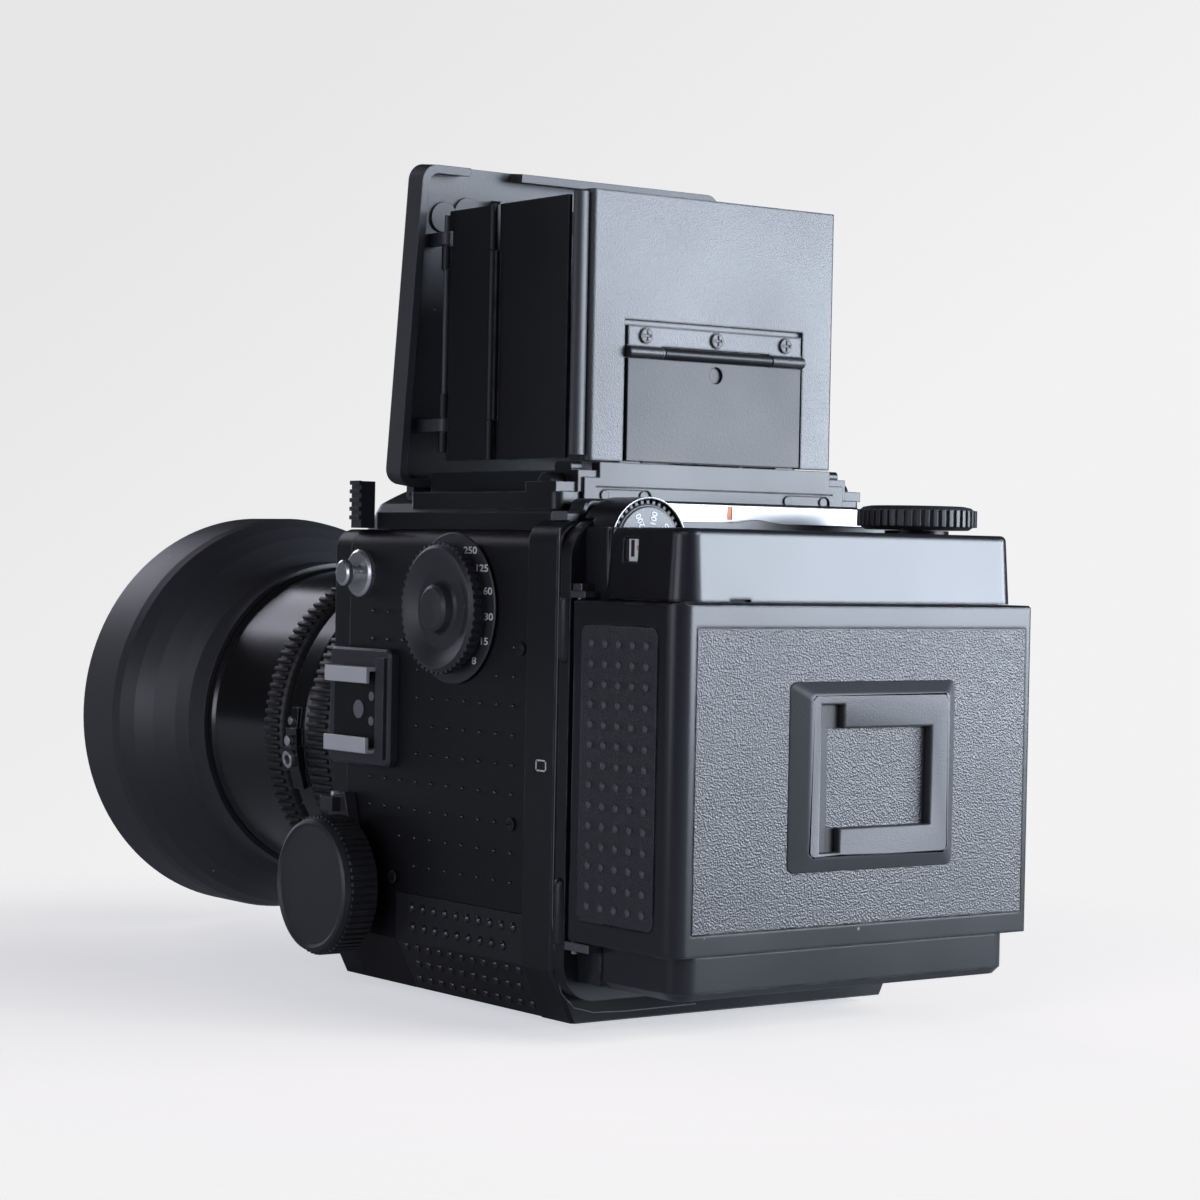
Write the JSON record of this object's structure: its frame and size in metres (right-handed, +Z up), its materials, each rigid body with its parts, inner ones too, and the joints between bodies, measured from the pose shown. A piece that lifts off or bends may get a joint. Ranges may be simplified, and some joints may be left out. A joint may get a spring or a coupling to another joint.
{
  "type": "medium format film camera",
  "caption": "Black medium format single lens reflex camera with an open waist-level finder, a wide lens hood and a revolving roll-film magazine.",
  "frame": {"origin": "centre of the tripod socket's mouth, in the plane the camera stands on", "axes": "+Z up, -Y the way the lens looks, +X the viewer's left hand side"},
  "size_m": [0.1284, 0.2638, 0.198],
  "materials": {
    "body_black": "satin black enamel",
    "leatherette": "black leatherette with raised points",
    "inner_black": "flat black",
    "control_black": "semi matt",
    "socket_brass": "turned",
    "satin_silver": "satin",
    "polished_chrome": "polished",
    "dark_steel": "blackened",
    "screen_glass": "ground",
    "lens_glass": "coated",
    "mirror_glass": "front silvered",
    "bellows_cloth": "flat black cloth",
    "barrel_black": "gloss black",
    "ring_rubber": "ribbed rubber",
    "hood_black": "matt black",
    "finder_black": "satin black",
    "leaf_black": "flat black",
    "finder_grain": "fine grained black",
    "magazine_black": "gloss black",
    "panel_grain": "coarse grained black",
    "spool_black": "moulded",
    "film_paper": "rolled backing paper"
  },
  "bodies": {
    "body": {"mirror_box": "inner_black", "front_plate": "body_black", "left_side_cover": "leatherette", "right_side_cover": "leatherette", "battery_cover": "leatherette", "rear_frame": "body_black", "bottom_plate": "body_black", "tripod_bush": "socket_brass", "finder_seat": "body_black", "finder_base": "body_black", "index_strip": "satin_silver", "focusing_screen": "screen_glass", "hot_shoe_block": "control_black", "hot_shoe_rails": "satin_silver", "hot_shoe_contacts": "polished_chrome", "strap_lugs": "polished_chrome", "top_hump": "body_black", "body_screws": "dark_steel", "bellows": "bellows_cloth"},
    "lens_standard": {"lens_board": "body_black", "focus_racks": "dark_steel", "lens_barrel": "barrel_black", "lens_elements": "lens_glass", "lens_hood": "hood_black", "sync_sockets": "polished_chrome"},
    "aperture_control": {"aperture_ring": "ring_rubber"},
    "lock_ring": {"lens_lock_ring": "barrel_black"},
    "focus_drive": {"focus_shaft": "dark_steel", "left_focus_knob": "control_black", "right_focus_knob": "control_black"},
    "focus_lock": {"focus_lock_lever": "control_black"},
    "mirror": {"mirror_frame": "inner_black", "mirror_glass": "mirror_glass"},
    "shutter_speed_control": {"speed_dial": "control_black"},
    "release": {"shutter_button": "polished_chrome"},
    "release_lock": {"release_collar": "satin_silver"},
    "cocking": {"cocking_lever": "control_black"},
    "finder_release": {"finder_release_button": "control_black"},
    "lid": {"finder_lid": "finder_black"},
    "left_front": {"left_front_leaf": "leaf_black"},
    "left_rear": {"left_rear_leaf": "leaf_black"},
    "right_front": {"right_front_leaf": "leaf_black"},
    "right_rear": {"right_rear_leaf": "leaf_black"},
    "finder_back": {"rear_plate": "finder_grain"},
    "finder_door": {"sight_door": "finder_black"},
    "magnifier": {"magnifier_frame": "inner_black", "magnifier_lens": "lens_glass"},
    "magazine": {"revolving_adapter": "body_black", "magazine_frame": "magazine_black", "pressure_plate": "dark_steel", "hinge_pins": "dark_steel"},
    "film_door": {"magazine_cover": "magazine_black", "cover_panels": "panel_grain", "memo_frame": "magazine_black"},
    "film_door_latch": {"cover_latch": "control_black"},
    "advance": {"advance_knob": "control_black"},
    "takeup": {"takeup_spool": "spool_black"},
    "supply": {"supply_spool": "film_paper"},
    "slide": {"dark_slide": "satin_silver"},
    "film_speed_reminder": {"film_speed_dial": "control_black"}
  },
  "joints": [
    {"name": "focus_slide", "type": "slide", "parent": "body", "child": "lens_standard", "axis": [0, -1, 0], "range_m": [0, 0.046], "deforming": ["bellows"]},
    {"name": "focus_shaft_turn", "type": "hinge", "parent": "body", "child": "focus_drive", "pos_m": [0, -0.029, 0.0253], "axis": [-1, 0, 0], "continuous": true},
    {"name": "focus_lock_turn", "type": "hinge", "parent": "body", "child": "focus_lock", "pos_m": [0, -0.029, 0.0253], "axis": [1, 0, 0], "range_deg": [0, 25]},
    {"name": "aperture_ring_turn", "type": "hinge", "parent": "lens_standard", "child": "aperture_control", "pos_m": [0, -0.08425, 0.059], "axis": [0, 1, 0], "range_deg": [-30, 30]},
    {"name": "lens_lock_ring_turn", "type": "hinge", "parent": "lens_standard", "child": "lock_ring", "pos_m": [0, -0.062, 0.059], "axis": [0, 1, 0], "range_deg": [0, 35]},
    {"name": "mirror_flip", "type": "hinge", "parent": "body", "child": "mirror", "pos_m": [0, 0.0365, 0.09], "axis": [-1, 0, 0], "range_deg": [0, 55]},
    {"name": "speed_dial_turn", "type": "hinge", "parent": "body", "child": "shutter_speed_control", "pos_m": [0.051, 0.0115, 0.0924], "axis": [1, 0, 0], "range_deg": [-150, 150]},
    {"name": "shutter_button_press", "type": "slide", "parent": "body", "child": "release", "axis": [0, 1, 0], "range_m": [0, 0.0025], "stiffness_N_per_m": 600, "springref_m": -0.0005},
    {"name": "release_collar_turn", "type": "hinge", "parent": "body", "child": "release_lock", "pos_m": [-0.0453, -0.044, 0.019], "axis": [0, -1, 0], "range_deg": [0, 90]},
    {"name": "cocking_lever_swing", "type": "hinge", "parent": "body", "child": "cocking", "pos_m": [-0.051, 0.014, 0.062], "axis": [1, 0, 0], "range_deg": [0, 75], "stiffness_Nm_per_rad": 0.05, "springref_deg": -5.73},
    {"name": "finder_release_press", "type": "slide", "parent": "body", "child": "finder_release", "axis": [-1, 0, 0], "range_m": [0, 0.0025], "stiffness_N_per_m": 500, "springref_m": -0.0005},
    {"name": "lid_tilt", "type": "hinge", "parent": "body", "child": "lid", "pos_m": [0, -0.0255, 0.119], "axis": [1, 0, 0], "range_deg": [0, 6]},
    {"name": "left_front_leaf_fold", "type": "hinge", "parent": "lid", "child": "left_front", "pos_m": [0.0378, -0.0146, 0.157], "axis": [0, 0, -1], "range_deg": [-90, 0]},
    {"name": "left_rear_leaf_fold", "type": "hinge", "parent": "left_front", "child": "left_rear", "pos_m": [0.0386, 0.006, 0.157], "axis": [0, 0, -1], "range_deg": [0, 180]},
    {"name": "right_front_leaf_fold", "type": "hinge", "parent": "lid", "child": "right_front", "pos_m": [-0.0378, -0.0146, 0.157], "axis": [0, 0, 1], "range_deg": [-90, 0]},
    {"name": "right_rear_leaf_fold", "type": "hinge", "parent": "right_front", "child": "right_rear", "pos_m": [-0.0386, 0.006, 0.157], "axis": [0, 0, 1], "range_deg": [0, 180]},
    {"name": "rear_plate_fold", "type": "hinge", "parent": "body", "child": "finder_back", "pos_m": [0, 0.0382, 0.128], "axis": [1, 0, 0], "range_deg": [0, 90]},
    {"name": "sight_door_swing", "type": "hinge", "parent": "finder_back", "child": "finder_door", "pos_m": [0, 0.0419, 0.1514], "axis": [1, 0, 0], "range_deg": [0, 120]},
    {"name": "magnifier_swing", "type": "hinge", "parent": "lid", "child": "magnifier", "pos_m": [0, -0.01792, 0.18859], "axis": [1, 0, 0], "range_deg": [0, 90]},
    {"name": "adapter_turn", "type": "hinge", "parent": "body", "child": "magazine", "pos_m": [0, 0.05485, 0.059], "axis": [0, 1, 0], "range_deg": [0, 90]},
    {"name": "film_door_swing", "type": "hinge", "parent": "magazine", "child": "film_door", "pos_m": [0.0499, 0.0589, 0.0586], "axis": [0, 0, -1], "range_deg": [0, 100]},
    {"name": "film_door_latch_slide", "type": "slide", "parent": "film_door", "child": "film_door_latch", "axis": [0, 0, 1], "range_m": [0, 0.004]},
    {"name": "takeup_spool_turn", "type": "hinge", "parent": "magazine", "child": "takeup", "pos_m": [-0.0325, 0.0796, 0.059], "axis": [0, 0, 1], "continuous": true},
    {"name": "advance_knob_turn", "type": "hinge", "parent": "magazine", "child": "advance", "pos_m": [-0.033, 0.075, 0.11], "axis": [0, 0, 1], "continuous": true},
    {"name": "supply_spool_turn", "type": "hinge", "parent": "magazine", "child": "supply", "pos_m": [0.0325, 0.0796, 0.059], "axis": [0, 0, 1], "continuous": true},
    {"name": "dark_slide_pull", "type": "slide", "parent": "magazine", "child": "slide", "axis": [-1, 0, 0], "range_m": [0, 0.08]},
    {"name": "film_speed_dial_turn", "type": "hinge", "parent": "magazine", "child": "film_speed_reminder", "pos_m": [0.0368, 0.064, 0.10785], "axis": [0, 1, 0], "range_deg": [-150, 150]}
  ],
  "couplings": [
    {"joint": "focus_shaft_turn", "follows": "focus_slide", "rad_per_m": 142.86},
    {"joint": "left_rear_leaf_fold", "follows": "left_front_leaf_fold", "ratio": -2},
    {"joint": "right_rear_leaf_fold", "follows": "right_front_leaf_fold", "ratio": -2},
    {"joint": "advance_knob_turn", "follows": "takeup_spool_turn", "ratio": 1}
  ]
}
